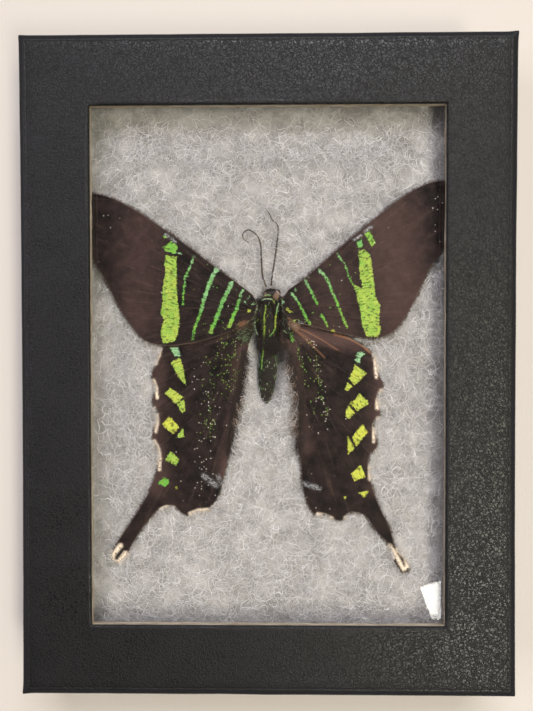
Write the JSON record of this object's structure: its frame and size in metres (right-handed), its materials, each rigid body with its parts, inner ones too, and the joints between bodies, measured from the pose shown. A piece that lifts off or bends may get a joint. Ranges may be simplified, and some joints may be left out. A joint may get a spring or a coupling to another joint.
{
  "type": "framed swallowtail moth specimen",
  "caption": "Shallow black card display case with a window of glass over a fibre pad, on which a spread green-banded tailed moth is pressed.",
  "frame": {"origin": "centre of the underside of the case, the face it lies on", "axes": "+Z out through the glass, +Y towards the moth's head along the case's long side, +X to the right when looking at the glass with the head up"},
  "size_m": [0.1072, 0.1422, 0.019],
  "materials": {
    "leatherette_card": "card covered with black paper embossed in a leather grain, satin",
    "window_glass": "clear, polished",
    "fibre_pad": "greyish white polyester fibre wadding, matt",
    "pin_steel": "nickel-plated steel, bright",
    "wing_scales": "dry brown-black wing membrane with green bands of scales, matt with a little sheen",
    "body_fur": "dark hair and scales with yellow-green stripes, matt",
    "dark_horn": "dry insect horn, dark brown, satin"
  },
  "bodies": {
    "root": {"lid": "leatherette_card", "glass_pane": "window_glass", "tray": "leatherette_card", "batting": "fibre_pad", "pin_right": "pin_steel", "pin_back": "pin_steel", "pin_left": "pin_steel", "pin_front": "pin_steel", "forewing_left": "wing_scales", "forewing_right": "wing_scales", "hindwing_left": "wing_scales", "hindwing_right": "wing_scales", "head": "body_fur", "thorax": "body_fur", "abdomen": "body_fur", "antenna_left": "dark_horn", "antenna_right": "dark_horn", "front_leg_left": "dark_horn", "front_leg_right": "dark_horn", "middle_leg_left": "dark_horn", "middle_leg_right": "dark_horn", "hind_leg_left": "dark_horn", "hind_leg_right": "dark_horn"}
  },
  "joints": []
}
